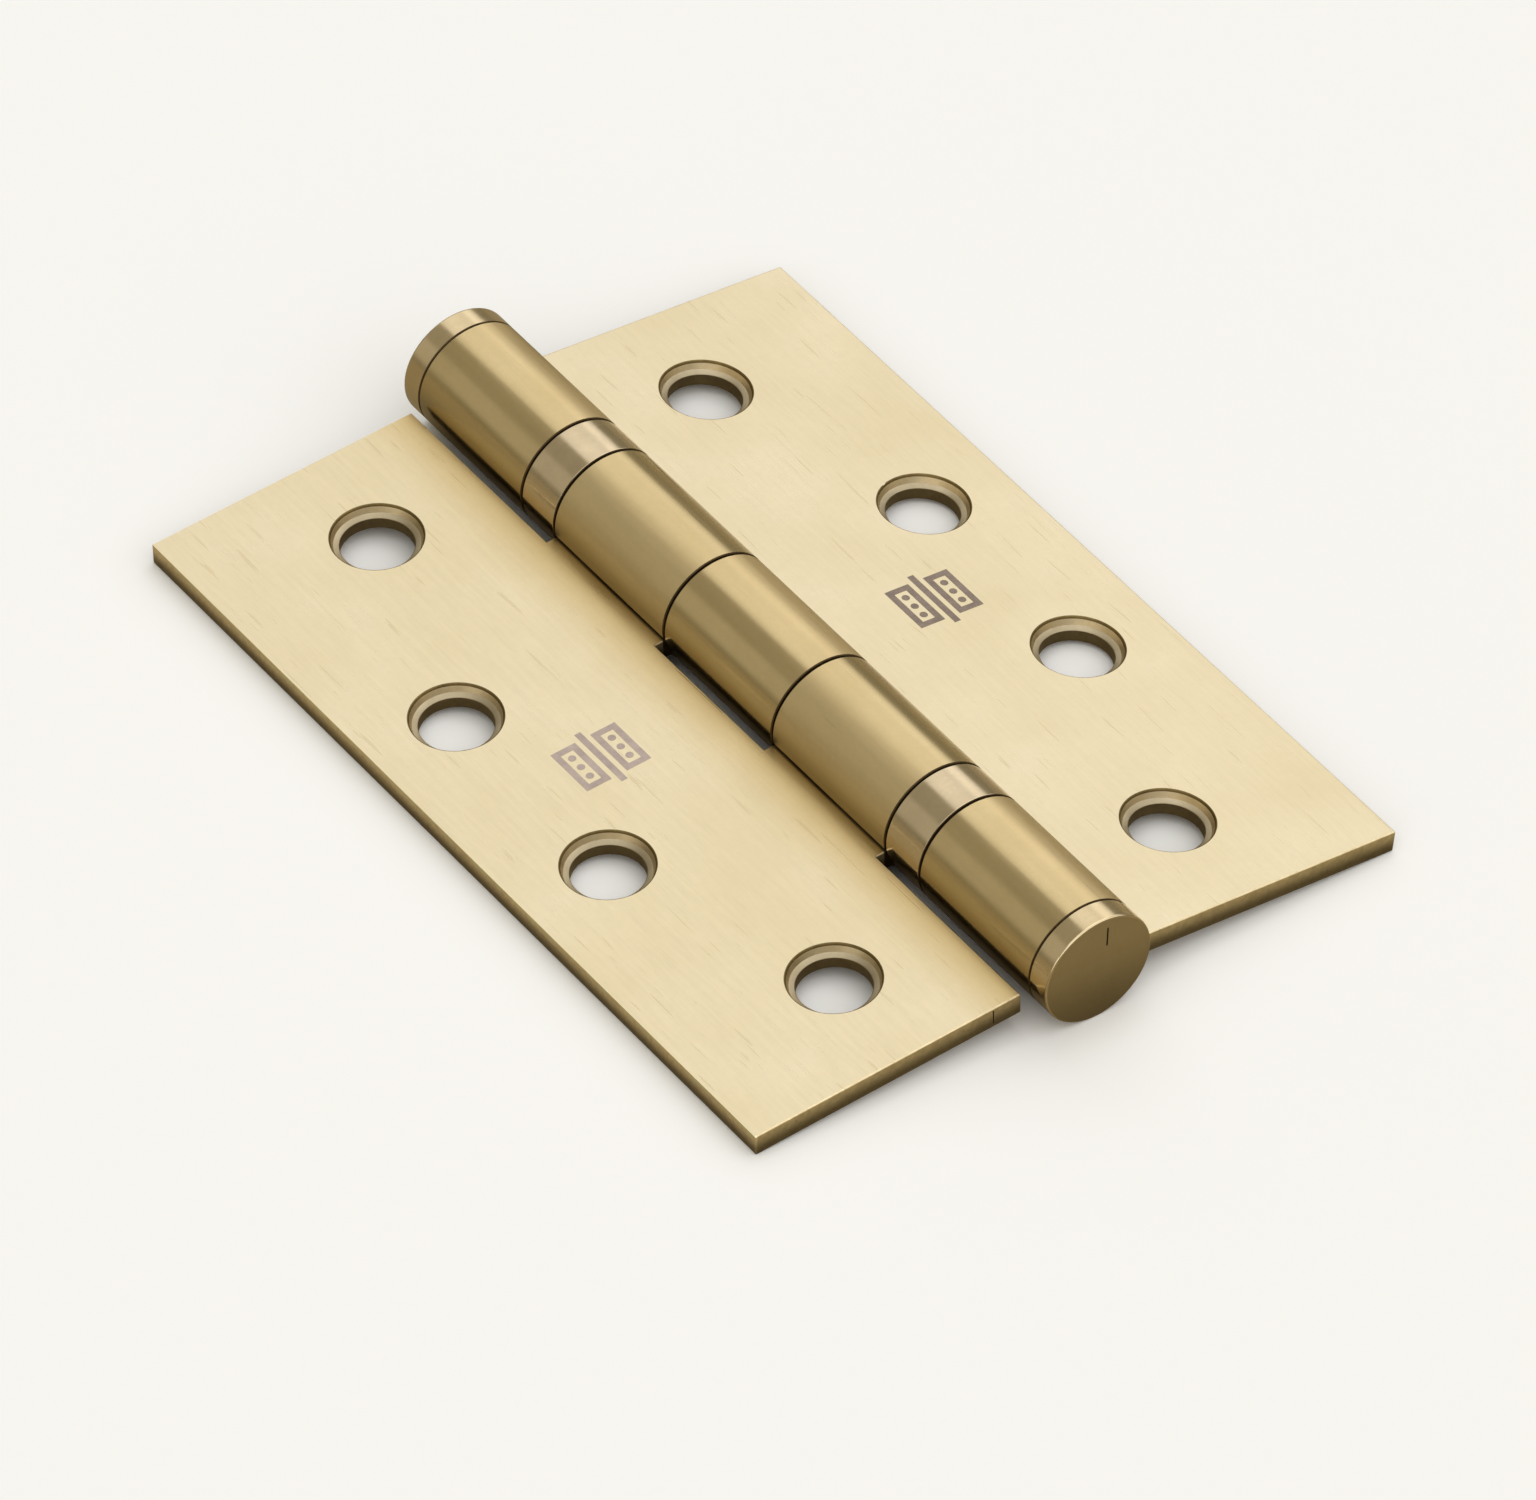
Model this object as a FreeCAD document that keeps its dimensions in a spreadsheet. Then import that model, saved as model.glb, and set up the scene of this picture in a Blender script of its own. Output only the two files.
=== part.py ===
import FreeCAD, Part
import math
import os
import Sketcher

# Five-knuckle ball-bearing butt hinge, laid open on a bench with the screw seats upward.
# +Y runs along the pin, from the bottom knuckle to the top one. The jamb leaf lies on +X, the
# door leaf on -X, and +Z is the side that the two leaves close towards. The origin is on the
# pin's axis, half-way along it. The barrel stands proud of both leaf backs, so each leaf
# droops from the barrel until its outer edge meets the bench.

Vector = FreeCAD.Vector

DIMENSIONS = {
    # leaves
    "leaf_length": 101.6,
    "leaf_reach": 38.4,            # pin axis to outer edge
    "leaf_gauge": 2.4,             # strip thickness
    "face_drop": 1.1,              # pin axis down to the face with the screw seats
    "leaf_droop": 4.1204,          # degrees: outer edge level with the underside of the barrel
    "notch_edge": 7.25,            # pin axis to the leaf edge that faces the other leaf's knuckle
    # rolled barrel
    "barrel_radius": 6.25,
    "swage_radius": 2.5,           # bend of the strip's middle line, where it dips under the pin
    "lip_angle": 8.0,              # degrees below the horizontal where the rolled strip ends
    "middle_seam": 9.0,            # pin's middle to the centre of each seam, along the pin
    "inner_bearing_seam": 27.6,
    "outer_bearing_seam": 33.1,
    "seam_gap": 0.2,
    # screw holes: two near the barrel at the ends, two further out in the middle
    "end_hole_reach": 20.1,
    "end_hole_offset": 38.25,
    "middle_hole_reach": 28.4,
    "middle_hole_offset": 12.75,
    "seat_rim_radius": 4.7,
    "seat_shoulder_radius": 4.35,
    "seat_wall_depth": 0.85,
    "seat_shoulder_drop": 0.2,
    "hole_radius": 3.75,
    # pin and end caps
    "pin_radius": 3.8,
    "pin_half_length": 47.8,
    "pin_land_length": 8.0,        # pressed length at each end of the pin
    "pin_tip_chamfer": 0.5,
    "cap_height": 2.7,
    "cap_edge": 0.3,
    "cap_spigot": 2.8,
    # thrust bearings
    "shell_wall": 0.5,
    "race_bore_clearance": 0.1,
    "running_clearance": 0.05,
    "race_face_gap": 1.0,
    "ball_radius": 0.8,
    "ball_pitch_radius": 4.8,
    "groove_clearance": 0.02,
    "cage_height": 0.6,
    "cage_margin": 0.15,
    "cage_pocket_clearance": 0.03,
}
BALL_COUNT = 10
PAST_EDGE = 2.0                    # how far a cut runs past the material, mm

doc = FreeCAD.newDocument("butt_hinge")
sheet = doc.addObject("Spreadsheet::Sheet", "sizes")
for row, (alias, value) in enumerate(DIMENSIONS.items(), start=1):
    sheet.set("A%d" % row, alias)
    sheet.set("B%d" % row, str(value))
    sheet.setAlias("B%d" % row, alias)
doc.recompute()


def size(alias):
    return float(sheet.get(alias))


def cell(text):
    """Turn a formula in plain alias names into an expression on the sheet."""
    words = text.replace("(", " ( ").replace(")", " ) ").split()
    return " ".join("sizes." + word if word in DIMENSIONS else word for word in words)


def evaluate(text):
    """Work out the same formula as a number, for a sketch's starting geometry."""
    return float(sheet.evalExpression(cell(text).replace("sizes.", "")))


def new_body(label):
    body = doc.addObject("PartDesign::Body", label)
    body.Label = label
    return body


def origin_feature(body, role):
    return next(item for item in body.Origin.OriginFeatures if item.Role == role)


def new_sketch(body, name, plane_role):
    sketch = body.newObject("Sketcher::SketchObject", body.Name + "_" + name)
    sketch.AttachmentSupport = [(origin_feature(body, plane_role), "")]
    sketch.MapMode = "FlatFace"
    return sketch


def pin_down(sketch, edge, end, across, up):
    """Fix one end of a line at (across, up), both formulas in alias names."""
    for kind, text in (("DistanceX", across), ("DistanceY", up)):
        if text == "0":
            axis = -2 if kind == "DistanceX" else -1
            sketch.addConstraint(Sketcher.Constraint("PointOnObject", edge, end, axis))
            continue
        value = evaluate(text)
        index = sketch.addConstraint(Sketcher.Constraint(kind, -1, 1, edge, end, value))
        sketch.setExpression("Constraints[%d]" % index, cell(text))


def polygon(sketch, corners):
    """Draw a closed outline of straight lines through corners given as alias formulas."""
    points = [Vector(evaluate(across), evaluate(up), 0) for across, up in corners]
    edges = []
    for start, end in zip(points, points[1:] + points[:1]):
        edges.append(sketch.addGeometry(Part.LineSegment(start, end), False))
    for edge, following in zip(edges, edges[1:] + edges[:1]):
        sketch.addConstraint(Sketcher.Constraint("Coincident", edge, 2, following, 1))
    for edge, (across, up) in zip(edges, corners):
        pin_down(sketch, edge, 1, across, up)


def rectangle(sketch, left, right, low, high):
    polygon(sketch, [(left, low), (right, low), (right, high), (left, high)])


def spin(body, sketch, kind="PartDesign::Revolution"):
    """Turn a sketch a full circle about its own vertical axis."""
    feature = body.newObject(kind, sketch.Name + "_spin")
    feature.Profile = sketch
    feature.ReferenceAxis = (sketch, ["V_Axis"])
    feature.Angle = 360.0
    doc.recompute()
    return feature


def turned(label, corners):
    """A turned piece: an outline of (radius, distance along the pin), spun about the pin."""
    body = new_body(label)
    sketch = new_sketch(body, "outline", "XY_Plane")
    polygon(sketch, corners)
    spin(body, sketch)
    return body


# --- leaves ----------------------------------------------------------------------------------

def strip_section(body):
    """The strip's section: flat, dipping under the pin, then rolled round it to the lip."""
    gauge = size("leaf_gauge")
    swage = size("swage_radius")
    outer = size("barrel_radius")
    bore = outer - gauge
    middle = size("face_drop") + gauge / 2
    roll = bore + gauge / 2
    root = math.sqrt((swage + roll) ** 2 - (middle + swage) ** 2)
    bend = Vector(root, -middle - swage, 0)
    meet = math.atan2(bend.y, bend.x)
    lip = -math.radians(size("lip_angle"))
    top = -size("face_drop")
    back = top - gauge
    reach = size("leaf_reach")
    normal = Vector(0, 0, 1)
    centre = Vector(0, 0, 0)

    def on_circle(radius, angle):
        return Vector(radius * math.cos(angle), radius * math.sin(angle), 0)

    sketch = new_sketch(body, "section", "XZ_Plane")
    arc = Part.ArcOfCircle
    circle = Part.Circle
    quarter = math.pi / 2
    face = sketch.addGeometry(Part.LineSegment(Vector(reach, top, 0), Vector(root, top, 0)))
    over = sketch.addGeometry(arc(circle(bend, normal, swage + gauge / 2), quarter, meet + math.pi))
    inside = sketch.addGeometry(arc(circle(centre, normal, bore), lip, meet + 2 * math.pi))
    end = sketch.addGeometry(Part.LineSegment(on_circle(bore, lip), on_circle(outer, lip)))
    outside = sketch.addGeometry(arc(circle(centre, normal, outer), lip, meet + 2 * math.pi))
    under = sketch.addGeometry(arc(circle(bend, normal, swage - gauge / 2), quarter, meet + math.pi))
    rear = sketch.addGeometry(Part.LineSegment(Vector(root, back, 0), Vector(reach, back, 0)))
    edge = sketch.addGeometry(Part.LineSegment(Vector(reach, back, 0), Vector(reach, top, 0)))

    constraint = Sketcher.Constraint
    sketch.addConstraint([
        constraint("Coincident", inside, 3, -1, 1),
        constraint("Coincident", outside, 3, -1, 1),
        constraint("Coincident", under, 3, over, 3),
        constraint("Tangent", face, 2, over, 1),
        constraint("Tangent", over, 2, inside, 2),
        constraint("Coincident", inside, 1, end, 1),
        constraint("Coincident", end, 2, outside, 1),
        constraint("Tangent", outside, 2, under, 2),
        constraint("Tangent", under, 1, rear, 1),
        constraint("Coincident", rear, 2, edge, 1),
        constraint("Coincident", edge, 2, face, 1),
        constraint("Horizontal", face),
        constraint("Vertical", edge),
        constraint("PointOnObject", -1, 1, end),
    ])
    for kind, text in (
            (("Radius", outside), "barrel_radius"),
            (("Radius", inside), "barrel_radius - leaf_gauge"),
            (("Radius", under), "swage_radius - leaf_gauge / 2"),
            (("DistanceX", -1, 1, face, 1), "leaf_reach"),
            (("DistanceY", face, 1, -1, 1), "face_drop")):
        index = sketch.addConstraint(constraint(*kind, evaluate(text)))
        sketch.setExpression("Constraints[%d]" % index, cell(text))
    index = sketch.addConstraint(constraint("Angle", end, lip))
    sketch.setExpression("Constraints[%d]" % index, "-1 deg * sizes.lip_angle")
    return sketch


def screw_hole(body, name, reach, offset, side):
    """A tapered wall, a narrow shoulder and a straight shank hole, spun about the hole's axis."""
    sketch = new_sketch(body, name, "XZ_Plane")
    sketch.setExpression(".AttachmentOffset.Base.x", cell(reach))
    sketch.setExpression(".AttachmentOffset.Base.z", cell("%d * %s" % (-side, offset)))
    seat = "-1 * face_drop"
    shoulder = "-1 * face_drop - seat_wall_depth"
    mouth = "-1 * face_drop - seat_wall_depth - seat_shoulder_drop"
    back = "-1 * face_drop - leaf_gauge"
    polygon(sketch, [
        ("0", back + " - %g" % PAST_EDGE),
        ("hole_radius", back + " - %g" % PAST_EDGE),
        ("hole_radius", mouth),
        ("seat_shoulder_radius", shoulder),
        ("seat_rim_radius", seat),
        ("seat_rim_radius", seat + " + %g" % PAST_EDGE),
        ("0", seat + " + %g" % PAST_EDGE)])
    spin(body, sketch, "PartDesign::Groove")


def leaf(label, notches):
    """A leaf lying level on +X. Each notch is a (low, high) pair of distances along the pin."""
    body = new_body(label)
    blank = body.newObject("PartDesign::Pad", label + "_blank")
    blank.Profile = strip_section(body)
    blank.setExpression("Length", "sizes.leaf_length")
    blank.Midplane = True
    windows = new_sketch(body, "notches", "XY_Plane")
    for low, high in notches:
        rectangle(windows, "-1 * barrel_radius - %g" % PAST_EDGE, "notch_edge", low, high)
    cut = body.newObject("PartDesign::Pocket", label + "_knuckle_gaps")
    cut.Profile = windows
    cut.Type = "ThroughAll"
    cut.Midplane = True
    doc.recompute()
    for end_name, side in (("top", 1), ("bottom", -1)):
        screw_hole(body, end_name + "_end_hole", "end_hole_reach", "end_hole_offset", side)
        screw_hole(body, end_name + "_middle_hole", "middle_hole_reach", "middle_hole_offset", side)
    return body


def tilt(body, axis_x, axis_y, axis_z, angle):
    """Bind a body's placement to a turn about an axis through the origin."""
    for name, text in (("Axis.x", axis_x), ("Axis.y", axis_y), ("Axis.z", axis_z), ("Angle", angle)):
        body.setExpression(".Placement.Rotation." + name, text)


jamb_leaf = leaf("jamb_leaf", [
    ("middle_seam - seam_gap / 2", "outer_bearing_seam + seam_gap / 2"),
    ("-1 * outer_bearing_seam - seam_gap / 2", "-1 * middle_seam + seam_gap / 2")])
tilt(jamb_leaf, "0", "1", "0", "1 deg * sizes.leaf_droop")

door_leaf = leaf("door_leaf", [
    ("inner_bearing_seam - seam_gap / 2", "leaf_length / 2 + %g" % PAST_EDGE),
    ("-1 * middle_seam - seam_gap / 2", "middle_seam + seam_gap / 2"),
    ("-1 * leaf_length / 2 - %g" % PAST_EDGE, "-1 * inner_bearing_seam + seam_gap / 2")])
# Half a turn about an axis leaning by half the droop turns the leaf to -X and lets it droop.
tilt(door_leaf, "-sin(1 deg * sizes.leaf_droop / 2)", "0", "cos(1 deg * sizes.leaf_droop / 2)", "180 deg")


# --- pin and caps ------------------------------------------------------------------------------

BORE = "barrel_radius - leaf_gauge"

land = "pin_half_length - pin_land_length"
tip = "pin_half_length - pin_tip_chamfer"
turned("hinge_pin", [
    ("0", "-1 * pin_half_length"),
    (BORE + " - pin_tip_chamfer", "-1 * pin_half_length"),
    (BORE, "-1 * pin_half_length + pin_tip_chamfer"),
    (BORE, "-1 * pin_half_length + pin_land_length"),
    ("pin_radius", "-1 * pin_half_length + pin_land_length"),
    ("pin_radius", land),
    (BORE, land),
    (BORE, tip),
    (BORE + " - pin_tip_chamfer", "pin_half_length"),
    ("0", "pin_half_length")])


def cap(label):
    """An end cap: a disc that closes the knuckle, on a spigot pressed into its bore."""
    face = "leaf_length / 2"
    return turned(label, [
        ("0", face + " - cap_spigot"),
        (BORE, face + " - cap_spigot"),
        (BORE, face),
        ("barrel_radius", face),
        ("barrel_radius", face + " + cap_height - cap_edge"),
        ("barrel_radius - cap_edge", face + " + cap_height"),
        ("0", face + " + cap_height")])


# --- thrust bearings -----------------------------------------------------------------------------

MIDDLE = "( inner_bearing_seam + outer_bearing_seam ) / 2"


def bearing_shell(label):
    low = "inner_bearing_seam + seam_gap / 2"
    high = "outer_bearing_seam - seam_gap / 2"
    return turned(label, [
        ("barrel_radius - shell_wall", low),
        ("barrel_radius", low),
        ("barrel_radius", high),
        ("barrel_radius - shell_wall", high)])


def race(label, outer, seat, face):
    """A race from the knuckle's end (seat) to the face that carries the ball groove."""
    inner = "pin_radius + race_bore_clearance"
    body = turned(label, [(inner, seat), (outer, seat), (outer, face), (inner, face)])
    groove = new_sketch(body, "ball_groove", "XY_Plane")
    radius = "ball_radius + groove_clearance"
    ring = Part.Circle(Vector(size("ball_pitch_radius"), evaluate(MIDDLE), 0), Vector(0, 0, 1),
                       evaluate(radius))
    edge = groove.addGeometry(ring, False)
    pin_down(groove, edge, 3, "ball_pitch_radius", MIDDLE)
    index = groove.addConstraint(Sketcher.Constraint("Radius", edge, evaluate(radius)))
    groove.setExpression("Constraints[%d]" % index, cell(radius))
    spin(body, groove, "PartDesign::Groove")
    return body


def ball_cage(label):
    """A flat ring with one pocket for each ball."""
    low = MIDDLE + " - cage_height / 2"
    high = MIDDLE + " + cage_height / 2"
    inner = "pin_radius + cage_margin"
    outer = "barrel_radius - shell_wall - cage_margin"
    body = turned(label, [(inner, low), (outer, low), (outer, high), (inner, high)])
    pocket_sketch = new_sketch(body, "pocket", "XZ_Plane")
    radius = "ball_radius + cage_pocket_clearance"
    ring = Part.Circle(Vector(size("ball_pitch_radius"), 0, 0), Vector(0, 0, 1), evaluate(radius))
    edge = pocket_sketch.addGeometry(ring, False)
    pin_down(pocket_sketch, edge, 3, "ball_pitch_radius", "0")
    index = pocket_sketch.addConstraint(Sketcher.Constraint("Radius", edge, evaluate(radius)))
    pocket_sketch.setExpression("Constraints[%d]" % index, cell(radius))
    pocket = body.newObject("PartDesign::Pocket", label + "_pocket")
    pocket.Profile = pocket_sketch
    pocket.Type = "ThroughAll"
    pocket.Midplane = True
    doc.recompute()
    ring_of_pockets = body.newObject("PartDesign::PolarPattern", label + "_pockets")
    ring_of_pockets.Originals = [pocket]
    ring_of_pockets.Axis = (origin_feature(body, "Y_Axis"), [""])
    ring_of_pockets.Angle = 360
    ring_of_pockets.Occurrences = BALL_COUNT
    body.Tip = ring_of_pockets
    return body


def ball(label, index, side):
    body = doc.addObject("Part::Sphere", label)
    body.Label = label
    body.setExpression("Radius", "sizes.ball_radius")
    angle = "%g deg" % (index * 360 / BALL_COUNT)
    body.setExpression(".Placement.Base.x", "sizes.ball_pitch_radius * cos(%s)" % angle)
    body.setExpression(".Placement.Base.y", "%d * " % side + cell(MIDDLE))
    body.setExpression(".Placement.Base.z", "sizes.ball_pitch_radius * sin(%s)" % angle)
    return body


for end_name, side in (("top", 1), ("bottom", -1)):
    inside = "barrel_radius - shell_wall"
    pieces = [
        cap(end_name + "_cap"),
        bearing_shell(end_name + "_bearing_shell"),
        race(end_name + "_race_jamb", inside, "outer_bearing_seam + seam_gap / 2",
             MIDDLE + " + race_face_gap / 2"),
        race(end_name + "_race_door", inside + " - running_clearance",
             "inner_bearing_seam - seam_gap / 2", MIDDLE + " - race_face_gap / 2"),
        ball_cage(end_name + "_ball_cage")]
    for piece in pieces:
        if side < 0:
            tilt(piece, "1", "0", "0", "180 deg")
    for index in range(BALL_COUNT):
        ball("%s_ball_%02d" % (end_name, index + 1), index, side)

doc.recompute()


# --- checks and export -----------------------------------------------------------------------------

def sub_parts():
    bodies = [item for item in doc.Objects if item.TypeId == "PartDesign::Body"]
    spheres = [item for item in doc.Objects if item.TypeId == "Part::Sphere"]
    return bodies + spheres


for item in doc.Objects:
    if "Invalid" in item.State or "Error" in item.State:
        raise RuntimeError("%s failed to build: %s" % (item.Label, item.State))
for item in sub_parts():
    if item.Shape.isNull() or not item.Shape.isValid() or len(item.Shape.Solids) != 1:
        raise RuntimeError("%s isn't one valid solid" % item.Label)

os.makedirs("parts", exist_ok=True)
for item in sub_parts():
    item.Shape.exportStep("parts/%s.step" % item.Label)
    print("%-22s %9.3f mm3" % (item.Label, item.Shape.Volume))
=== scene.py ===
import math

import bmesh
import bpy
from mathutils import Matrix, Vector


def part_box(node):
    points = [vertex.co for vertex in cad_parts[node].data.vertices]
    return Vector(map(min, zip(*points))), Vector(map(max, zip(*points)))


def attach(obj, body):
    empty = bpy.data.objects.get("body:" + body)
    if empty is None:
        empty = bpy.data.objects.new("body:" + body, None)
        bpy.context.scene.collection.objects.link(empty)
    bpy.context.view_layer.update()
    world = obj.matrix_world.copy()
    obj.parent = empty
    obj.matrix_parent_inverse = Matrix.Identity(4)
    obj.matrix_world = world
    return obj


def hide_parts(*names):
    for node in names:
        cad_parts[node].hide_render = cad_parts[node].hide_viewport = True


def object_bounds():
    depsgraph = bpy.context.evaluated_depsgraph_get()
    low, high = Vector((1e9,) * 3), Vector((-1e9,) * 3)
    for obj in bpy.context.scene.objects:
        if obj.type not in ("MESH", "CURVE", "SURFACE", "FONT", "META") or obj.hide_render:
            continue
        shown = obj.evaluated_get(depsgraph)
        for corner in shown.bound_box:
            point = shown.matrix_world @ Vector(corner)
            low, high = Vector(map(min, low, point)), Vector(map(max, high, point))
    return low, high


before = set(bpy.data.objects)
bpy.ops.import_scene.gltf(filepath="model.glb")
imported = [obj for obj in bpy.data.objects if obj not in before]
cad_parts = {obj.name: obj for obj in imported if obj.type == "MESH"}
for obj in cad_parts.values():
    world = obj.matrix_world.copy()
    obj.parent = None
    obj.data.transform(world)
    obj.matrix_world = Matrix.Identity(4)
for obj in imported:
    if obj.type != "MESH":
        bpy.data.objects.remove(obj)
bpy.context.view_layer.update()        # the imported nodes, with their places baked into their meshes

mm = 0.001
close = 0.01            # mm, places nearer than this count as the same
leaning = 0.2           # share of a face's normal along an axis, from which it faces partly that way
facing = 0.9            # the same, from which it faces squarely that way
print("frame loaded:", len(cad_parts), "nodes")


# small helpers for meshes

def softenCorners(corners, steps=4):
    # corners are (across, up, softness); a softened corner becomes a small arc
    points = []
    for before, corner, after in zip(corners[-1:] + corners[:-1], corners, corners[1:] + corners[:1]):
        place = Vector(corner[:2])
        softness = corner[2]
        if not softness:
            points.append(place)
            continue
        back = (Vector(before[:2]) - place).normalized()
        ahead = (Vector(after[:2]) - place).normalized()
        half = back.angle(ahead) / 2
        centre = place + (back + ahead).normalized() * softness / math.sin(half)
        spoke = place + back * softness / math.tan(half) - centre
        turn = -spoke.angle_signed(place + ahead * softness / math.tan(half) - centre)
        for step in range(steps + 1):
            points.append(centre + Matrix.Rotation(turn * step / steps, 2) @ spoke)
    return points


def arcPoints(centre, radius, start, end, steps):
    angles = [start + (end - start) * step / steps for step in range(steps + 1)]
    return [Vector((centre[0] + radius * math.cos(a), centre[1] + radius * math.sin(a))) for a in angles]


def closedMesh(name, shape):
    bmesh.ops.recalc_face_normals(shape, faces=shape.faces)
    mesh = bpy.data.meshes.new(name)
    shape.to_mesh(mesh)
    shape.free()
    return mesh


def giveFinishes(mesh, materials, choose=None):
    # materials are named, and choose gives the name of the one that a face takes
    names = list(materials)
    mesh.materials.clear()
    for material in materials.values():
        mesh.materials.append(material)
    for face in mesh.polygons:
        face.material_index = names.index(choose(face)) if choose else 0


def prism(name, outline, low, high):
    # an outline of (x, z), drawn out along y
    shape = bmesh.new()
    rings = [[shape.verts.new((x * mm, y * mm, z * mm)) for x, z in outline] for y in (low, high)]
    for ring in rings:
        shape.faces.new(ring)
    for index in range(len(outline)):
        following = (index + 1) % len(outline)
        shape.faces.new((rings[0][index], rings[0][following], rings[1][following], rings[1][index]))
    return closedMesh(name, shape)


def turned(name, profile, steps):
    # a profile of (radius, along), turned about the y axis; it may start and end on the axis
    shape = bmesh.new()
    rings = []
    for radius, along in profile:
        if radius < 1e-6:
            rings.append([shape.verts.new((0, along * mm, 0))] * steps)
            continue
        angles = [2 * math.pi * step / steps for step in range(steps)]
        rings.append([shape.verts.new((radius * mm * math.sin(a), along * mm, radius * mm * math.cos(a)))
                      for a in angles])
    pairs = list(zip(rings, rings[1:] + rings[:1]))
    if profile[0][0] < 1e-6:
        pairs.pop()
    for first, second in pairs:
        for step in range(steps):
            following = (step + 1) % steps
            corners = [first[step], first[following], second[following], second[step]]
            shape.faces.new(list(dict.fromkeys(corners)))
    return closedMesh(name, shape)


def applied(name, mesh, setUp):
    # the mesh with the modifiers that setUp adds, applied
    carrier = bpy.data.objects.new(name, mesh)
    bpy.context.scene.collection.objects.link(carrier)
    setUp(carrier)
    bpy.context.view_layer.update()
    result = bpy.data.meshes.new_from_object(carrier.evaluated_get(bpy.context.evaluated_depsgraph_get()))
    bpy.data.objects.remove(carrier)
    result.name = name
    return result


def addCut(carrier, tool):
    cut = carrier.modifiers.new("cut", "BOOLEAN")
    cut.operation = "DIFFERENCE"
    cut.solver = "EXACT"
    cut.object = tool


def cutAway(name, mesh, cutters):
    for cutter in cutters:
        tool = bpy.data.objects.new("cutter", cutter)
        bpy.context.scene.collection.objects.link(tool)
        mesh = applied(name, mesh, lambda carrier: addCut(carrier, tool))
        bpy.data.objects.remove(tool)
    return mesh


def evenShading(mesh):
    # smooth shading in which large flat faces stay flat
    sharpAngle = math.radians(35)
    mesh.shade_smooth()
    mesh.set_sharp_from_angle(angle=sharpAngle)

    def setUp(carrier):
        even = carrier.modifiers.new("even", "WEIGHTED_NORMAL")
        even.keep_sharp = True
        even.weight = 100

    return applied(mesh.name, mesh, setUp)


def newPiece(name, mesh, body, replaced=()):
    piece = bpy.data.objects.new(name, mesh)
    bpy.context.scene.collection.objects.link(piece)
    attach(piece, body)
    if replaced:
        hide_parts(*replaced)
    return piece


# shader helpers

def addNode(tree, kind, settings=None, **sockets):
    # sockets are given by name, or as i0, i1 and so on by number
    node = tree.nodes.new(kind)
    for key, value in (settings or {}).items():
        setattr(node, key, value)
    for key, value in sockets.items():
        target = node.inputs[int(key[1:])] if key[0] == "i" and key[1:].isdigit() else node.inputs[key]
        if isinstance(value, bpy.types.NodeSocket):
            tree.links.new(value, target)
        else:
            target.default_value = value
    return node


def mathNode(tree, operation, first, second=0.0):
    return addNode(tree, "ShaderNodeMath", {"operation": operation}, i0=first, i1=second).outputs[0]


def vectorNode(tree, operation, first, second):
    node = addNode(tree, "ShaderNodeVectorMath", {"operation": operation}, i0=first, i1=second)
    return node.outputs["Value" if operation == "DOT_PRODUCT" else "Vector"]


def remap(tree, value, low, high, outLow=0.0, outHigh=1.0, smooth=False):
    kind = "SMOOTHSTEP" if smooth else "LINEAR"
    node = addNode(tree, "ShaderNodeMapRange", {"interpolation_type": kind}, Value=value,
                   **{"From Min": low, "From Max": high, "To Min": outLow, "To Max": outHigh})
    return node.outputs["Result"]


def blendColours(tree, amount, first, second, kind="MIX"):
    # clamped, so that no surface gives back more light than it gets
    node = addNode(tree, "ShaderNodeMix", {"data_type": "RGBA", "blend_type": kind, "clamp_result": True})
    for index, value in ((0, amount), (6, first), (7, second)):
        if isinstance(value, bpy.types.NodeSocket):
            tree.links.new(value, node.inputs[index])
        else:
            node.inputs[index].default_value = value if index == 0 else (*value[:3], 1.0)
    return node.outputs[2]


def newGroup(name, inputs, outputs):
    group = bpy.data.node_groups.new(name, "ShaderNodeTree")
    for label, kind, value in inputs:
        made = group.interface.new_socket(name=label, in_out="INPUT", socket_type=kind)
        if value is not None:
            made.default_value = value
    for label, kind in outputs:
        group.interface.new_socket(name=label, in_out="OUTPUT", socket_type=kind)
    return group, group.nodes.new("NodeGroupInput"), group.nodes.new("NodeGroupOutput")


def placeGroup(tree, group, **sockets):
    return addNode(tree, "ShaderNodeGroup", {"node_tree": group}, **sockets)


def noiseNode(tree, place, scale, detail, roughness):
    return addNode(tree, "ShaderNodeTexNoise", Vector=place, Scale=scale, Detail=detail,
                   Roughness=roughness).outputs[0]


# effects that the finishes share

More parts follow.
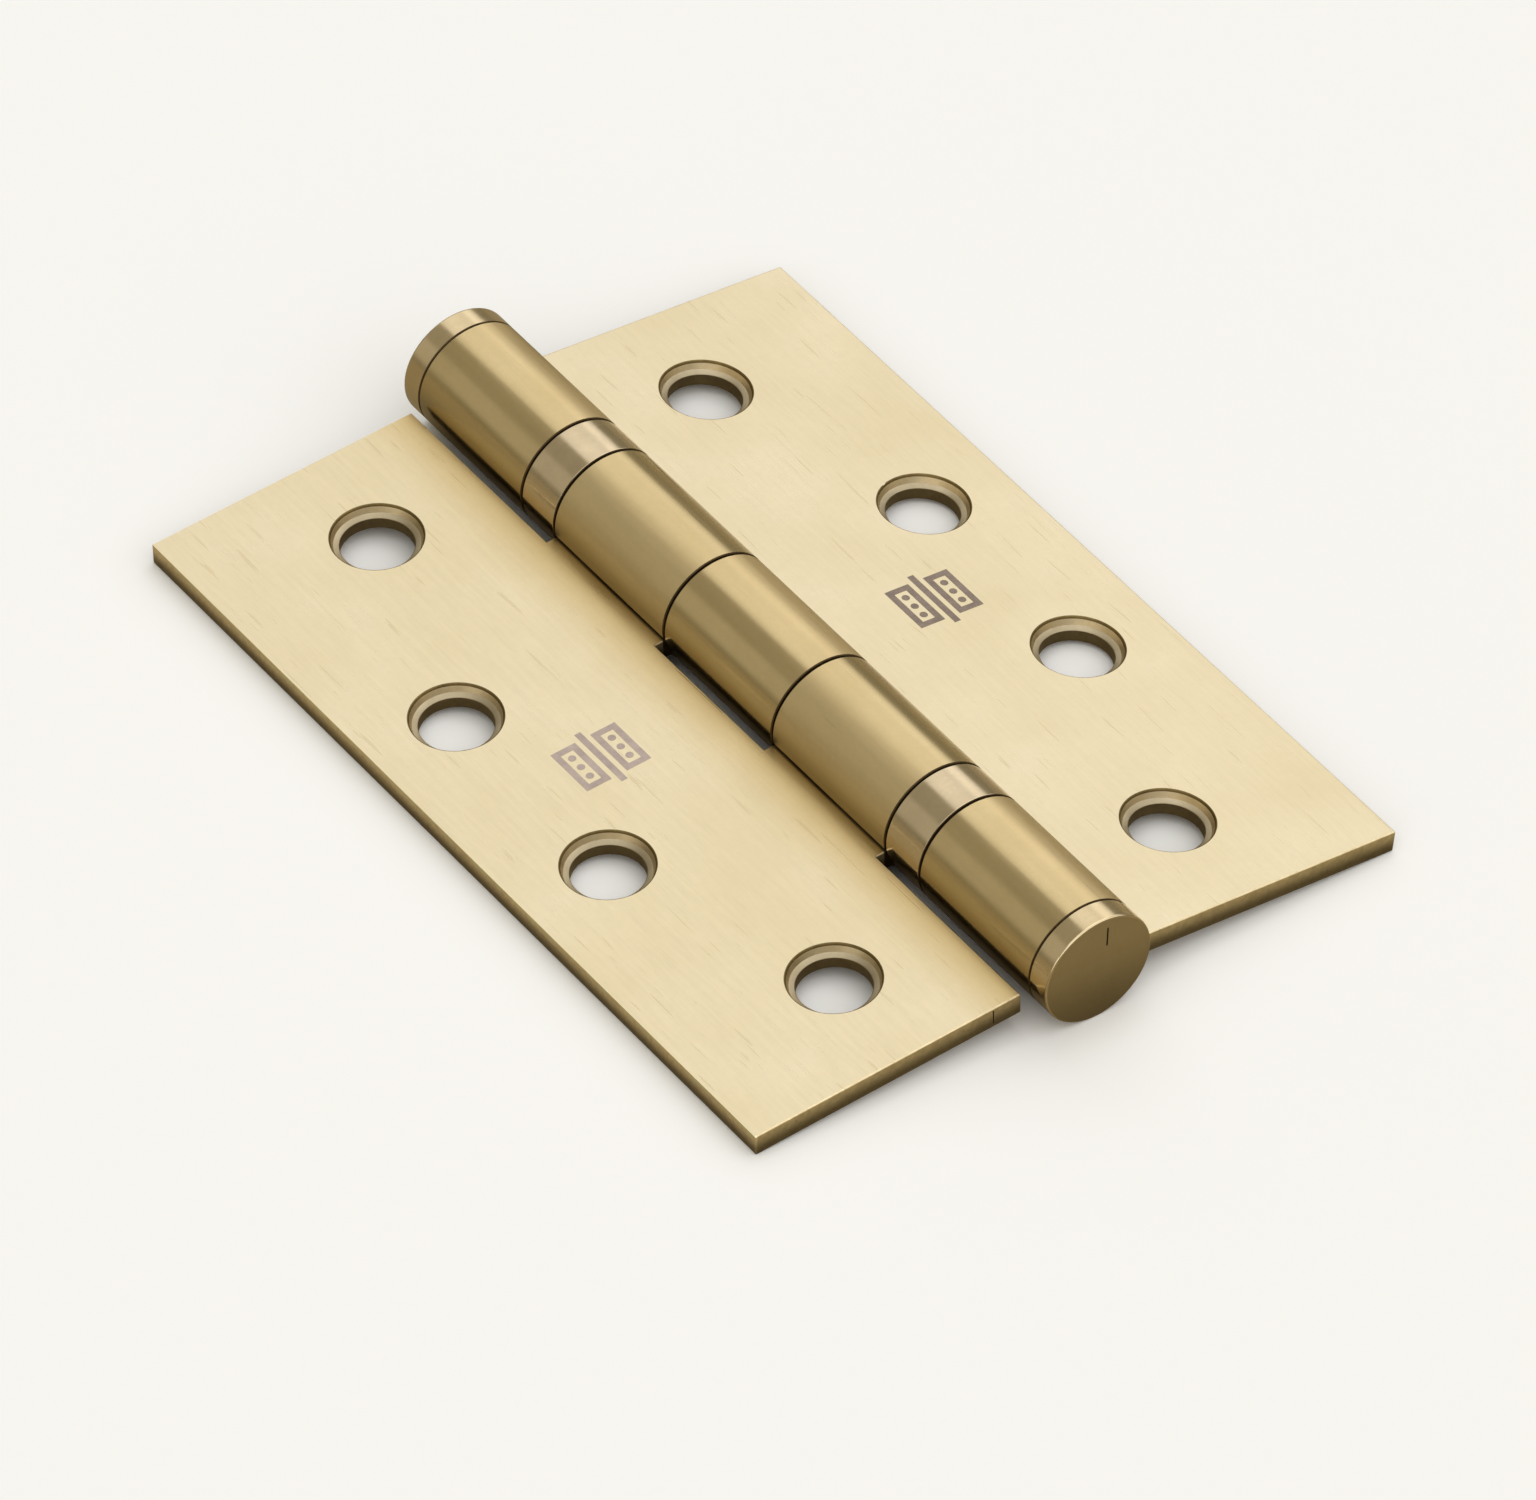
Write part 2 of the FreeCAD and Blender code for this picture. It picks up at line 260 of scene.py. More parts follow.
def makeBrushedGrain():
    # lines drawn out along y: a close grain, and longer hairlines scattered over it
    group, source, sink = newGroup(
        "brushedGrain",
        [("Place", "NodeSocketVector", None), ("Line Width", "NodeSocketFloat", 0.2),
         ("Line Length", "NodeSocketFloat", 3.0), ("Hairline Share", "NodeSocketFloat", 0.3)],
        [("Height", "NodeSocketFloat"), ("Hairlines", "NodeSocketFloat")])
    across = mathNode(group, "DIVIDE", 1 / mm, source.outputs["Line Width"])
    along = mathNode(group, "DIVIDE", 1 / mm, source.outputs["Line Length"])
    stretch = addNode(group, "ShaderNodeCombineXYZ", X=across, Y=along, Z=across).outputs[0]
    place = vectorNode(group, "MULTIPLY", source.outputs["Place"], stretch)
    grain = noiseNode(group, place, 0.5, 3.0, 0.6)
    longer = vectorNode(group, "MULTIPLY", place, (0.55, 0.45, 0.55))
    shifted = vectorNode(group, "ADD", longer, (13.7, 5.1, 8.3))
    scratch = noiseNode(group, shifted, 1.0, 1.0, 0.4)
    threshold = remap(group, source.outputs["Hairline Share"], 0.0, 1.0, 0.80, 0.50)
    hairlines = remap(group, mathNode(group, "SUBTRACT", scratch, threshold), 0.0, 0.06, smooth=True)
    height = mathNode(group, "SUBTRACT", grain, mathNode(group, "MULTIPLY", hairlines, 0.5))
    group.links.new(height, sink.inputs["Height"])
    group.links.new(hairlines, sink.inputs["Hairlines"])
    return group


def makeMottle():
    # slow, cloudy change of tone over the metal, and a fine speckle
    group, source, sink = newGroup(
        "mottle",
        [("Place", "NodeSocketVector", None), ("Cloud Size", "NodeSocketFloat", 9.0),
         ("Speck Size", "NodeSocketFloat", 0.5)],
        [("Clouds", "NodeSocketFloat"), ("Specks", "NodeSocketFloat")])
    for label, size, detail in (("Clouds", "Cloud Size", 3.0), ("Specks", "Speck Size", 2.0)):
        scale = mathNode(group, "DIVIDE", 1 / mm, source.outputs[size])
        noise = noiseNode(group, source.outputs["Place"], scale, detail, 0.55)
        group.links.new(remap(group, noise, 0.32, 0.68), sink.inputs[label])
    return group


def makeTurningMarks():
    # rings round the y axis, as a lathe tool leaves them on ends and sides
    group, source, sink = newGroup(
        "turningMarks",
        [("Place", "NodeSocketVector", None), ("Ring Width", "NodeSocketFloat", 0.25)],
        [("Height", "NodeSocketFloat")])
    scale = mathNode(group, "DIVIDE", 1 / mm, source.outputs["Ring Width"])
    parts = addNode(group, "ShaderNodeSeparateXYZ", Vector=source.outputs["Place"])
    flat = addNode(group, "ShaderNodeCombineXYZ", X=parts.outputs[0], Z=parts.outputs[2]).outputs[0]
    radius = addNode(group, "ShaderNodeVectorMath", {"operation": "LENGTH"}, i0=flat).outputs["Value"]
    place = addNode(group, "ShaderNodeCombineXYZ", X=mathNode(group, "MULTIPLY", radius, scale),
                    Y=mathNode(group, "MULTIPLY", parts.outputs[1], scale)).outputs[0]
    rings = noiseNode(group, place, 1.0, 2.0, 0.6)
    group.links.new(rings, sink.inputs["Height"])
    return group


def makeEdgeWear():
    # 1 where the surface turns sharply within the given distance, broken up by a noise
    group, source, sink = newGroup(
        "edgeWear",
        [("Place", "NodeSocketVector", None), ("Reach", "NodeSocketFloat", 0.25)],
        [("Wear", "NodeSocketFloat")])
    reach = mathNode(group, "MULTIPLY", source.outputs["Reach"], mm)
    rounded = addNode(group, "ShaderNodeBevel", {"samples": 4}, Radius=reach).outputs[0]
    plain = group.nodes.new("ShaderNodeNewGeometry").outputs["Normal"]
    turnAway = mathNode(group, "SUBTRACT", 1.0, vectorNode(group, "DOT_PRODUCT", rounded, plain))
    patches = noiseNode(group, source.outputs["Place"], 900.0, 2.0, 0.6)
    broken = mathNode(group, "MULTIPLY", remap(group, turnAway, 0.01, 0.12), remap(group, patches, 0.3, 0.6))
    group.links.new(broken, sink.inputs["Wear"])
    return group


grainGroup = makeBrushedGrain()
mottleGroup = makeMottle()
turningGroup = makeTurningMarks()
wearGroup = makeEdgeWear()


def tonedGrey(tree, change):
    level = mathNode(tree, "ADD", 1.0, change)
    return addNode(tree, "ShaderNodeCombineColor", i0=level, i1=level, i2=level).outputs[0]


def metalFinish(name, look):
    # one metal surface: colour with clouds and hairlines, grain or turning marks, and worn edges
    material = bpy.data.materials.new(name)
    material.use_nodes = True
    tree = material.node_tree
    tree.nodes.clear()
    output = tree.nodes.new("ShaderNodeOutputMaterial")
    shader = addNode(tree, "ShaderNodeBsdfPrincipled", Metallic=1.0)
    tree.links.new(shader.outputs[0], output.inputs["Surface"])
    objectPlace = tree.nodes.new("ShaderNodeTexCoord").outputs["Object"]
    place = vectorNode(tree, "ADD", objectPlace, tuple(mm * value for value in look["offset"]))

    mottle = placeGroup(tree, mottleGroup, Place=place, **{"Cloud Size": look["cloudSize"],
                                                           "Speck Size": look["speckSize"]})
    colour = blendColours(tree, mottle.outputs["Clouds"], look["colour"], look["cloudColour"])
    speckAmount = mathNode(tree, "MULTIPLY", mottle.outputs["Specks"], look["specks"])
    colour = blendColours(tree, speckAmount, colour, look["speckColour"])
    roughness = remap(tree, mottle.outputs["Clouds"], 0.0, 1.0, *look["roughness"])

    if look["turned"]:
        height = placeGroup(tree, turningGroup, Place=objectPlace,
                            **{"Ring Width": look["lineWidth"]}).outputs["Height"]
    else:
        grain = placeGroup(tree, grainGroup, Place=place, **{
            "Line Width": look["lineWidth"], "Line Length": look["lineLength"],
            "Hairline Share": look["hairlines"]})
        height = grain.outputs["Height"]
        hairAmount = mathNode(tree, "MULTIPLY", grain.outputs["Hairlines"], look["hairlineDepth"])
        colour = blendColours(tree, hairAmount, colour, look["hairlineColour"])
    tone = remap(tree, height, 0.25, 0.75, -look["lineTone"], look["lineTone"])
    colour = blendColours(tree, 1.0, colour, tonedGrey(tree, tone), "MULTIPLY")
    roughness = mathNode(tree, "ADD", roughness, remap(tree, height, 0.2, 0.8, -look["lineRoughness"],
                                                       look["lineRoughness"]))
    # reach is the distance across from the pin, level the height, and side is above 0 towards the leaf's edge
    apart = addNode(tree, "ShaderNodeSeparateXYZ", Vector=objectPlace).outputs
    reach = mathNode(tree, "ABSOLUTE", apart[0])
    level = mathNode(tree, "ADD", apart[2], mathNode(tree, "MULTIPLY", reach, look.get("slope", 0.0)))
    side = mathNode(tree, "MULTIPLY", apart[0], look.get("ownSide", 1.0))
    measures = {"level": level, "reach": reach, "side": side}
    for measure, start, end, tint in look.get("paintedShading", ()):
        # painted shade, or painted highlight where the tint is above 1: from start to end, in millimetres,
        # the metal's colour turns towards its product with the tint
        amount = remap(tree, measures[measure], start * mm, end * mm, smooth=True)
        colour = blendColours(tree, amount, colour, blendColours(tree, 1.0, colour, tint, "MULTIPLY"))
    if look.get("polishedSide"):
        # the side away from the leaf's own edge is smoother
        polished = remap(tree, side, *(mm * value for value in look["polishedSide"]), 1.0, 0.0, smooth=True)
        drop = mathNode(tree, "MULTIPLY", polished, look["polish"])
        roughness = mathNode(tree, "SUBTRACT", roughness, drop)

    wear = placeGroup(tree, wearGroup, Place=place, Reach=look["wearReach"]).outputs["Wear"]
    wearAmount = mathNode(tree, "MULTIPLY", wear, look["wear"])
    colour = blendColours(tree, wearAmount, colour, look["wearColour"])
    tree.links.new(colour, shader.inputs["Base Color"])
    tree.links.new(roughness, shader.inputs["Roughness"])
    bump = addNode(tree, "ShaderNodeBump", Height=height, Strength=1.0, Distance=look["lineDepth"] * mm)
    tree.links.new(bump.outputs[0], shader.inputs["Normal"])
    return material


# the darkening and lightening by place in these finishes is painted shade and painted highlight; with the
# polish it shades the metal for the pose at rest, so the shading stays on each leaf as it swings
finish = {
    "leafFace": {
        "colour": (0.835, 0.735, 0.530), "cloudColour": (0.79, 0.685, 0.465), "cloudSize": 16.0,
        "speckColour": (0.70, 0.58, 0.37), "speckSize": 0.7, "specks": 0.12,
        "roughness": (0.28, 0.34), "turned": False, "lineWidth": 0.22, "lineLength": 3.2,
        "hairlines": 0.34, "hairlineDepth": 0.30, "hairlineColour": (0.62, 0.50, 0.29),
        "lineTone": 0.035, "lineRoughness": 0.05, "lineDepth": 0.004,
        # painted shade: the face darkens towards the barrel
        "paintedShading": (("reach", 8.5, 6.5, (0.80, 0.78, 0.72)),),
        "wear": 0.5, "wearReach": 0.25, "wearColour": (0.90, 0.80, 0.57), "offset": (0.0, 0.0, 0.0),
    },
    "barrel": {
        "colour": (0.84, 0.672, 0.385), "cloudColour": (0.805, 0.637, 0.355), "cloudSize": 8.0,
        "speckColour": (0.60, 0.46, 0.24), "speckSize": 0.6, "specks": 0.10,
        "roughness": (0.39, 0.43), "turned": False, "lineWidth": 0.30, "lineLength": 6.0,
        "hairlines": 0.12, "hairlineDepth": 0.18, "hairlineColour": (0.58, 0.44, 0.22),
        "lineTone": 0.03, "lineRoughness": 0.03, "lineDepth": 0.002,
        "polishedSide": (-2.5, 1.5), "polish": 0.20,
        # painted shade: the knuckles darken on the side away from their own leaf, where they meet it, and
        # towards the bottom
        "paintedShading": (("side", 1.4, 0.0, (0.85, 0.85, 0.84)), ("side", 3.0, 5.2, (0.66, 0.64, 0.58)),
                    ("level", 2.6, -0.5, (0.66, 0.66, 0.66))),
        "wear": 0.5, "wearReach": 0.20, "wearColour": (0.86, 0.72, 0.46), "offset": (0.0, 0.0, 0.0),
    },
    "leafEdge": {
        "colour": (0.93, 0.79, 0.52), "cloudColour": (0.84, 0.70, 0.44), "cloudSize": 5.0,
        "speckColour": (0.50, 0.40, 0.22), "speckSize": 0.5, "specks": 0.35,
        "roughness": (0.40, 0.50), "turned": False, "lineWidth": 0.35, "lineLength": 5.0,
        "hairlines": 0.35, "hairlineDepth": 0.35, "hairlineColour": (0.50, 0.40, 0.22),
        "lineTone": 0.06, "lineRoughness": 0.05, "lineDepth": 0.006,
        # painted shade: the edge darkens towards its underside
        "paintedShading": (("level", -1.2, -3.1, (0.28, 0.27, 0.25)),),
        "slope": 0.07204,         # tangent of the leaf's droop, so that the level is counted from the leaf
        "wear": 0.4, "wearReach": 0.25, "wearColour": (0.95, 0.84, 0.60), "offset": (3.0, 7.0, 1.0),
    },
    # painted highlight: the seat's upper wall is a lighter copy of the brass
    "seatWallHighlight": {
        "colour": (0.93, 0.80, 0.56), "cloudColour": (0.87, 0.74, 0.50), "cloudSize": 2.5,
        "speckColour": (0.50, 0.40, 0.24), "speckSize": 0.4, "specks": 0.12,
        "roughness": (0.34, 0.42), "turned": False, "lineWidth": 0.6, "lineLength": 0.6,
        "hairlines": 0.0, "hairlineDepth": 0.0, "hairlineColour": (0.40, 0.32, 0.17),
        "lineTone": 0.03, "lineRoughness": 0.03, "lineDepth": 0.0015,
        "wear": 0.3, "wearReach": 0.2, "wearColour": (0.86, 0.75, 0.52), "offset": (1.0, 2.0, 5.0),
    },
    # painted shade: the seat's shoulder is a darker copy of the brass
    "seatShoulderShade": {
        "colour": (0.46, 0.39, 0.265), "cloudColour": (0.41, 0.345, 0.23), "cloudSize": 2.5,
        "speckColour": (0.30, 0.24, 0.15), "speckSize": 0.4, "specks": 0.12,
        "roughness": (0.34, 0.42), "turned": False, "lineWidth": 0.6, "lineLength": 0.6,
        "hairlines": 0.0, "hairlineDepth": 0.0, "hairlineColour": (0.40, 0.32, 0.17),
        "lineTone": 0.03, "lineRoughness": 0.03, "lineDepth": 0.0015,
        "wear": 0.3, "wearReach": 0.2, "wearColour": (0.62, 0.53, 0.36), "offset": (3.0, 2.0, 4.0),
    },
    # painted shade: a dark band just below the face, round the seat's rim
    "seatRimShade": {
        "colour": (0.20, 0.145, 0.055), "cloudColour": (0.15, 0.105, 0.04), "cloudSize": 2.0,
        "speckColour": (0.32, 0.24, 0.11), "speckSize": 0.3, "specks": 0.25,
        "roughness": (0.45, 0.55), "turned": False, "lineWidth": 0.3, "lineLength": 0.6,
        "hairlines": 0.1, "hairlineDepth": 0.2, "hairlineColour": (0.36, 0.27, 0.13),
        "lineTone": 0.05, "lineRoughness": 0.05, "lineDepth": 0.002,
        "wear": 0.0, "wearReach": 0.05, "wearColour": (0.40, 0.30, 0.15), "offset": (4.0, 3.0, 2.0),
    },
    # painted shade: the wall of the through hole is dark
    "seatShankShade": {
        "colour": (0.26, 0.205, 0.125), "cloudColour": (0.20, 0.155, 0.09), "cloudSize": 3.0,
        "speckColour": (0.36, 0.29, 0.17), "speckSize": 0.4, "specks": 0.25,
        "roughness": (0.40, 0.50), "turned": False, "lineWidth": 0.4, "lineLength": 0.8,
        "hairlines": 0.1, "hairlineDepth": 0.2, "hairlineColour": (0.40, 0.32, 0.17),
        "lineTone": 0.05, "lineRoughness": 0.05, "lineDepth": 0.002,
        "wear": 0.0, "wearReach": 0.05, "wearColour": (0.40, 0.30, 0.15), "offset": (2.0, 5.0, 1.0),
    },
    "capBrass": {
        "colour": (0.78, 0.64, 0.42), "cloudColour": (0.73, 0.59, 0.37), "cloudSize": 4.0,
        "speckColour": (0.58, 0.46, 0.28), "speckSize": 0.4, "specks": 0.15,
        "roughness": (0.15, 0.20), "turned": True, "lineWidth": 0.6,
        "lineTone": 0.015, "lineRoughness": 0.02, "lineDepth": 0.0008,
        "wear": 0.6, "wearReach": 0.25, "wearColour": (0.93, 0.82, 0.60), "offset": (0.0, 0.0, 0.0),
    },
    "bearingBrass": {
        "colour": (0.76, 0.63, 0.44), "cloudColour": (0.70, 0.58, 0.40), "cloudSize": 3.5,
        "speckColour": (0.55, 0.44, 0.29), "speckSize": 0.4, "specks": 0.15,
        "roughness": (0.15, 0.20), "turned": True, "lineWidth": 0.6,
        "lineTone": 0.015, "lineRoughness": 0.02, "lineDepth": 0.0008,
        "wear": 0.6, "wearReach": 0.20, "wearColour": (0.90, 0.80, 0.62), "offset": (2.0, 0.0, 1.0),
    },
    "etchedMark": {
        "colour": (0.33, 0.27, 0.235), "cloudColour": (0.29, 0.235, 0.21), "cloudSize": 1.5,
        "speckColour": (0.50, 0.42, 0.34), "speckSize": 0.25, "specks": 0.30,
        "roughness": (0.60, 0.70), "turned": False, "lineWidth": 0.25, "lineLength": 0.6,
        "hairlines": 0.2, "hairlineDepth": 0.3, "hairlineColour": (0.62, 0.52, 0.40),
        "lineTone": 0.06, "lineRoughness": 0.05, "lineDepth": 0.003,
        "wear": 0.3, "wearReach": 0.10, "wearColour": (0.55, 0.46, 0.36), "offset": (0.0, 0.0, 0.0),
    },
    # painted shade: the cap's end face is darker than its side, and darker still towards the bottom
    "capEndShade": {
        "colour": (0.58, 0.475, 0.285), "cloudColour": (0.54, 0.43, 0.25), "cloudSize": 6.0,
        "speckColour": (0.46, 0.36, 0.21), "speckSize": 0.6, "specks": 0.10,
        "roughness": (0.34, 0.40), "turned": True, "lineWidth": 0.8,
        "lineTone": 0.02, "lineRoughness": 0.02, "lineDepth": 0.001,
        "paintedShading": (("level", 4.0, -6.0, (0.58, 0.58, 0.58)),),
        "wear": 0.3, "wearReach": 0.25, "wearColour": (0.80, 0.68, 0.46), "offset": (0.0, 0.0, 0.0),
    },
    # painted shade: near-black metal on faces in the seams, the bore, the notch's edge and the nicks
    "gapShade": {
        "colour": (0.10, 0.065, 0.030), "cloudColour": (0.07, 0.045, 0.020), "cloudSize": 2.0,
        "speckColour": (0.16, 0.11, 0.05), "speckSize": 0.3, "specks": 0.30,
        "roughness": (0.55, 0.65), "turned": False, "lineWidth": 0.3, "lineLength": 0.8,
        "hairlines": 0.1, "hairlineDepth": 0.2, "hairlineColour": (0.20, 0.14, 0.07),
        "lineTone": 0.05, "lineRoughness": 0.05, "lineDepth": 0.004,
        "wear": 0.0, "wearReach": 0.05, "wearColour": (0.30, 0.22, 0.11), "offset": (6.0, 0.0, 2.0),
    },
    "pinSteel": {
        "colour": (0.56, 0.56, 0.57), "cloudColour": (0.50, 0.50, 0.51), "cloudSize": 6.0,
        "speckColour": (0.36, 0.35, 0.34), "speckSize": 0.5, "specks": 0.15,
        "roughness": (0.26, 0.34), "turned": True, "lineWidth": 0.2,
        "lineTone": 0.04, "lineRoughness": 0.05, "lineDepth": 0.002,
        "wear": 0.5, "wearReach": 0.25, "wearColour": (0.70, 0.70, 0.71), "offset": (0.0, 4.0, 0.0),
    },
    "raceSteel": {
        "colour": (0.50, 0.50, 0.52), "cloudColour": (0.44, 0.44, 0.46), "cloudSize": 3.0,
        "speckColour": (0.30, 0.29, 0.28), "speckSize": 0.4, "specks": 0.15,
        "roughness": (0.20, 0.28), "turned": True, "lineWidth": 0.15,
        "lineTone": 0.03, "lineRoughness": 0.04, "lineDepth": 0.001,
        "wear": 0.5, "wearReach": 0.15, "wearColour": (0.68, 0.68, 0.70), "offset": (5.0, 0.0, 0.0),
    },
    "ballSteel": {
        "colour": (0.66, 0.66, 0.67), "cloudColour": (0.62, 0.62, 0.63), "cloudSize": 1.2,
        "speckColour": (0.45, 0.44, 0.43), "speckSize": 0.2, "specks": 0.12,
        "roughness": (0.10, 0.16), "turned": False, "lineWidth": 0.2, "lineLength": 0.4,
        "hairlines": 0.1, "hairlineDepth": 0.2, "hairlineColour": (0.45, 0.44, 0.43),
        "lineTone": 0.02, "lineRoughness": 0.03, "lineDepth": 0.0005,
        "wear": 0.0, "wearReach": 0.05, "wearColour": (0.70, 0.70, 0.71), "offset": (0.0, 0.0, 3.0),
    },
    "cageBrass": {
        "colour": (0.64, 0.47, 0.22), "cloudColour": (0.56, 0.40, 0.18), "cloudSize": 2.0,
        "speckColour": (0.36, 0.26, 0.12), "speckSize": 0.3, "specks": 0.2,
        "roughness": (0.34, 0.44), "turned": True, "lineWidth": 0.15,
        "lineTone": 0.04, "lineRoughness": 0.05, "lineDepth": 0.001,
        "wear": 0.5, "wearReach": 0.1, "wearColour": (0.80, 0.64, 0.36), "offset": (0.0, 0.0, 0.0),
    },
}


def shadedCopy(look, tint):
    # the same finish with the colours of its metal multiplied by the tint: a shaded copy, painted shade
    colours = ("colour", "cloudColour", "speckColour", "hairlineColour")
    return {**look, **{key: tuple(part * by for part, by in zip(look[key], tint)) for key in colours}}


# the door leaf has its own stretch of grain, more painted shade along the barrel, knuckles in a shaded copy
# of the barrel finish with their own painted shade, and a painted highlight at its outer edge
doorChange = {"offset": (41.0, 17.0, 5.0), "ownSide": -1.0}
finish["doorLeafFace"] = {**finish["leafFace"], **doorChange,
                          "paintedShading": (("reach", 14.5, 5.5, (0.80, 0.69, 0.46)),)}
finish["doorBarrel"] = {**shadedCopy(finish["barrel"], (0.85, 0.85, 0.84)), **doorChange,
                        "paintedShading": (("side", -3.0, -5.2, (0.70, 0.68, 0.62)),
                                    ("level", 2.6, -0.5, (0.66, 0.66, 0.66)))}
# painted highlight along the door leaf's outer edge
outerEdgeHighlight = ("reach", 37.85, 38.0, (1.30, 1.32, 1.42))
finish["doorLeafEdge"] = {**finish["leafEdge"], **doorChange,
                          "paintedShading": finish["leafEdge"]["paintedShading"] + (outerEdgeHighlight,)}
finish["doorEtchedMark"] = {**finish["etchedMark"], **doorChange, "colour": (0.56, 0.47, 0.44),
                            "cloudColour": (0.50, 0.42, 0.40), "speckColour": (0.66, 0.57, 0.48)}
metals = {name: metalFinish(name, look) for name, look in finish.items()}
print("finishes made:", len(metals))


# leaves: a strip, rolled at one edge into knuckles, with four stepped screw seats
# All in millimetres in the leaf's own level frame: x from the pin to the outer edge, y along the pin, z up.

leafShape = {
    "reach": 38.4,
    "gauge": 2.4,
    "faceDrop": 1.1,          # pin axis down to the face with the screw seats
    "droop": 4.1204,          # degrees that the leaf hangs from the barrel to the bench
    "notchEdge": 7.25,
    "swage": 2.5,             # bend of the strip's middle line, under the pin
    "lipAngle": 8.0,
    "roundSteps": 144,
    "bendSteps": 12,
    "outlineSoftness": 0.15,
    "knuckleSoftness": 0.15,
    "roundedFrom": 40,        # degrees, from which an outside corner is rounded
    "weld": 0.0005,           # corners left this close together by the cuts become one
    "endSplit": 0.05,         # how far outside the barrel an end changes from barrel to edge finish
}
seatShape = {
    "places": ((20.1, 38.25), (28.4, 12.75), (28.4, -12.75), (20.1, -38.25)),
    "rim": 4.7,
    "shoulder": 4.35,
    "hole": 3.75,
    "wallDepth": 0.85,
    "shoulderDrop": 0.2,
    "rimDepth": 0.25,         # band of painted shade just below the face
    "softness": 0.10,
    "margin": 0.1,            # how far outside the rim the metal still belongs to the seat
    "steps": 128,
}
seams = {"middle": 9.0, "inner": 27.6, "outer": 33.1, "gap": 0.2}

barrelRadius = (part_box("top_cap")[1].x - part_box("top_cap")[0].x) / 2 / mm
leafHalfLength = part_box("jamb_leaf")[1].y / mm
past = 2.0                    # how far a cut runs past the metal


def stripOutline():
    shape = leafShape
    bore = barrelRadius - shape["gauge"]
    top = -shape["faceDrop"]
    back = top - shape["gauge"]
    middle = (top + back) / 2
    roll = bore + shape["gauge"] / 2
    root = math.sqrt((shape["swage"] + roll) ** 2 - (middle - shape["swage"]) ** 2)
    bend = (root, middle - shape["swage"])
    meet = math.atan2(bend[1], bend[0])
    lip = -math.radians(shape["lipAngle"])
    bendSteps, roundSteps = shape["bendSteps"], shape["roundSteps"]
    inside = arcPoints((0, 0), bore, meet + 2 * math.pi, lip, roundSteps)
    outside = arcPoints((0, 0), barrelRadius, lip, meet + 2 * math.pi, roundSteps)
    over = arcPoints(bend, shape["swage"] + shape["gauge"] / 2, math.pi / 2, meet + math.pi, bendSteps)
    under = arcPoints(bend, shape["swage"] - shape["gauge"] / 2, meet + math.pi, math.pi / 2, bendSteps)
    return [Vector((shape["reach"], top))] + over[:-1] + inside + outside + under[1:] + [
        Vector((shape["reach"], back))]


def seatCutter():
    seat = seatShape
    top = -leafShape["faceDrop"]
    back = top - leafShape["gauge"]
    floorLevel = top - seat["wallDepth"]
    bandRadius = seat["rim"] - (seat["rim"] - seat["shoulder"]) * seat["rimDepth"] / seat["wallDepth"]
    profile = [(0, back - past), (seat["hole"], back - past),
               (seat["hole"], floorLevel - seat["shoulderDrop"]), (seat["shoulder"], floorLevel),
               (bandRadius, top - seat["rimDepth"]), (seat["rim"], top),
               (seat["rim"], top + past), (0, top + past)]
    cutter = turned("seatCutter", profile, seat["steps"])
    cutter.transform(Matrix.Rotation(math.pi / 2, 4, "X"))
    return cutter


def boxMesh(name, low, high):
    outline = [(low[0], low[2]), (high[0], low[2]), (high[0], high[2]), (low[0], high[2])]
    return prism(name, outline, low[1], high[1])


def nearSeat(place):
    return min(math.hypot(place.x / mm - x, place.y / mm - y) for x, y in seatShape["places"])


def softenEdges(mesh):
    # mark every outside corner for rounding: the outline more than the knuckles and seats
    weld = leafShape["weld"] * mm
    roundedFrom = math.radians(leafShape["roundedFrom"])
    shape = bmesh.new()
    shape.from_mesh(mesh)
    bmesh.ops.remove_doubles(shape, verts=shape.verts, dist=weld)
    # the two ends are split where the barrel meets the flat strip, so that each takes its own finish
    ends = [face for face in shape.faces if abs(face.normal.y) > facing]
    splitAt = ((barrelRadius + leafShape["endSplit"]) * mm, 0, 0)
    bmesh.ops.bisect_plane(shape, geom=ends + list({edge for face in ends for edge in face.edges}),
                           dist=weld, plane_co=splitAt, plane_no=(1, 0, 0))
    weights = shape.edges.layers.float.new("bevel_weight_edge")
    for edge in shape.edges:
        if len(edge.link_faces) != 2 or edge.calc_face_angle_signed(0) < roundedFrom:
            continue
        middle = (edge.verts[0].co + edge.verts[1].co) / 2
        if nearSeat(middle) < seatShape["rim"] + seatShape["margin"] / 2:
            edge[weights] = seatShape["softness"] / leafShape["outlineSoftness"]
        elif min(vert.co.x for vert in edge.verts) < (leafShape["notchEdge"] - close) * mm:
            edge[weights] = leafShape["knuckleSoftness"] / leafShape["outlineSoftness"]
        else:
            edge[weights] = 1.0
    shape.to_mesh(mesh)
    shape.free()

    def setUp(carrier):
        soft = carrier.modifiers.new("soft", "BEVEL")
        soft.limit_method = "WEIGHT"
        soft.width = leafShape["outlineSoftness"] * mm
        soft.segments = 3
        soft.use_clamp_overlap = False

    return applied(mesh.name, mesh, setUp)


